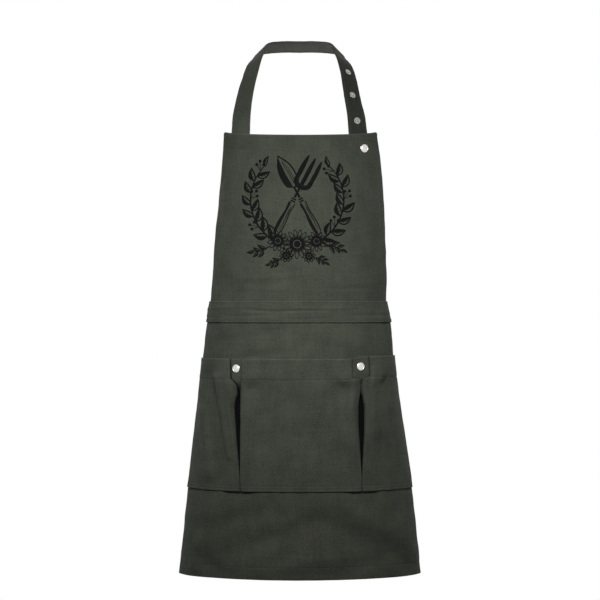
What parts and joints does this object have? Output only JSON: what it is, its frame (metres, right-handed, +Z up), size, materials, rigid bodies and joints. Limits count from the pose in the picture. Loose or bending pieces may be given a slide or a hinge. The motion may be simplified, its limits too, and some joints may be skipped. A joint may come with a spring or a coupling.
{
  "type": "gardening apron",
  "caption": "Full-length work apron in its worn form, with a snap-adjusted neck strap, a tie round the waist and a pleated pocket panel.",
  "frame": {"origin": "the middle of the neck strap's inner face, where it lies on the nape of the neck", "axes": "+Z up; the front of the apron faces -Y, the wearer's back is towards +Y, and +X is to the right of the picture"},
  "size_m": [0.4344, 0.236, 0.9684],
  "materials": {
    "canvas": "matte plain-woven cotton canvas, grey-green",
    "webbing": "matte folded canvas tape, a little darker",
    "nickel": "polished nickel plate"
  },
  "bodies": {
    "root": {"bib": "canvas", "waistband": "canvas", "skirt": "canvas", "pocket_panel": "canvas", "neck_strap": "webbing", "waist_tie": "webbing", "tie_knot": "webbing", "bib_cap": "nickel", "bib_socket": "nickel", "strap_stud_1": "nickel", "strap_rivet_1": "nickel", "strap_stud_2": "nickel", "strap_rivet_2": "nickel", "strap_stud_3": "nickel", "strap_rivet_3": "nickel", "strap_stud_4": "nickel", "strap_rivet_4": "nickel", "pocket_cap_left": "nickel", "pocket_socket_left": "nickel", "skirt_stud_left": "nickel", "skirt_rivet_left": "nickel", "pocket_cap_right": "nickel", "pocket_socket_right": "nickel", "skirt_stud_right": "nickel", "skirt_rivet_right": "nickel"}
  },
  "joints": []
}
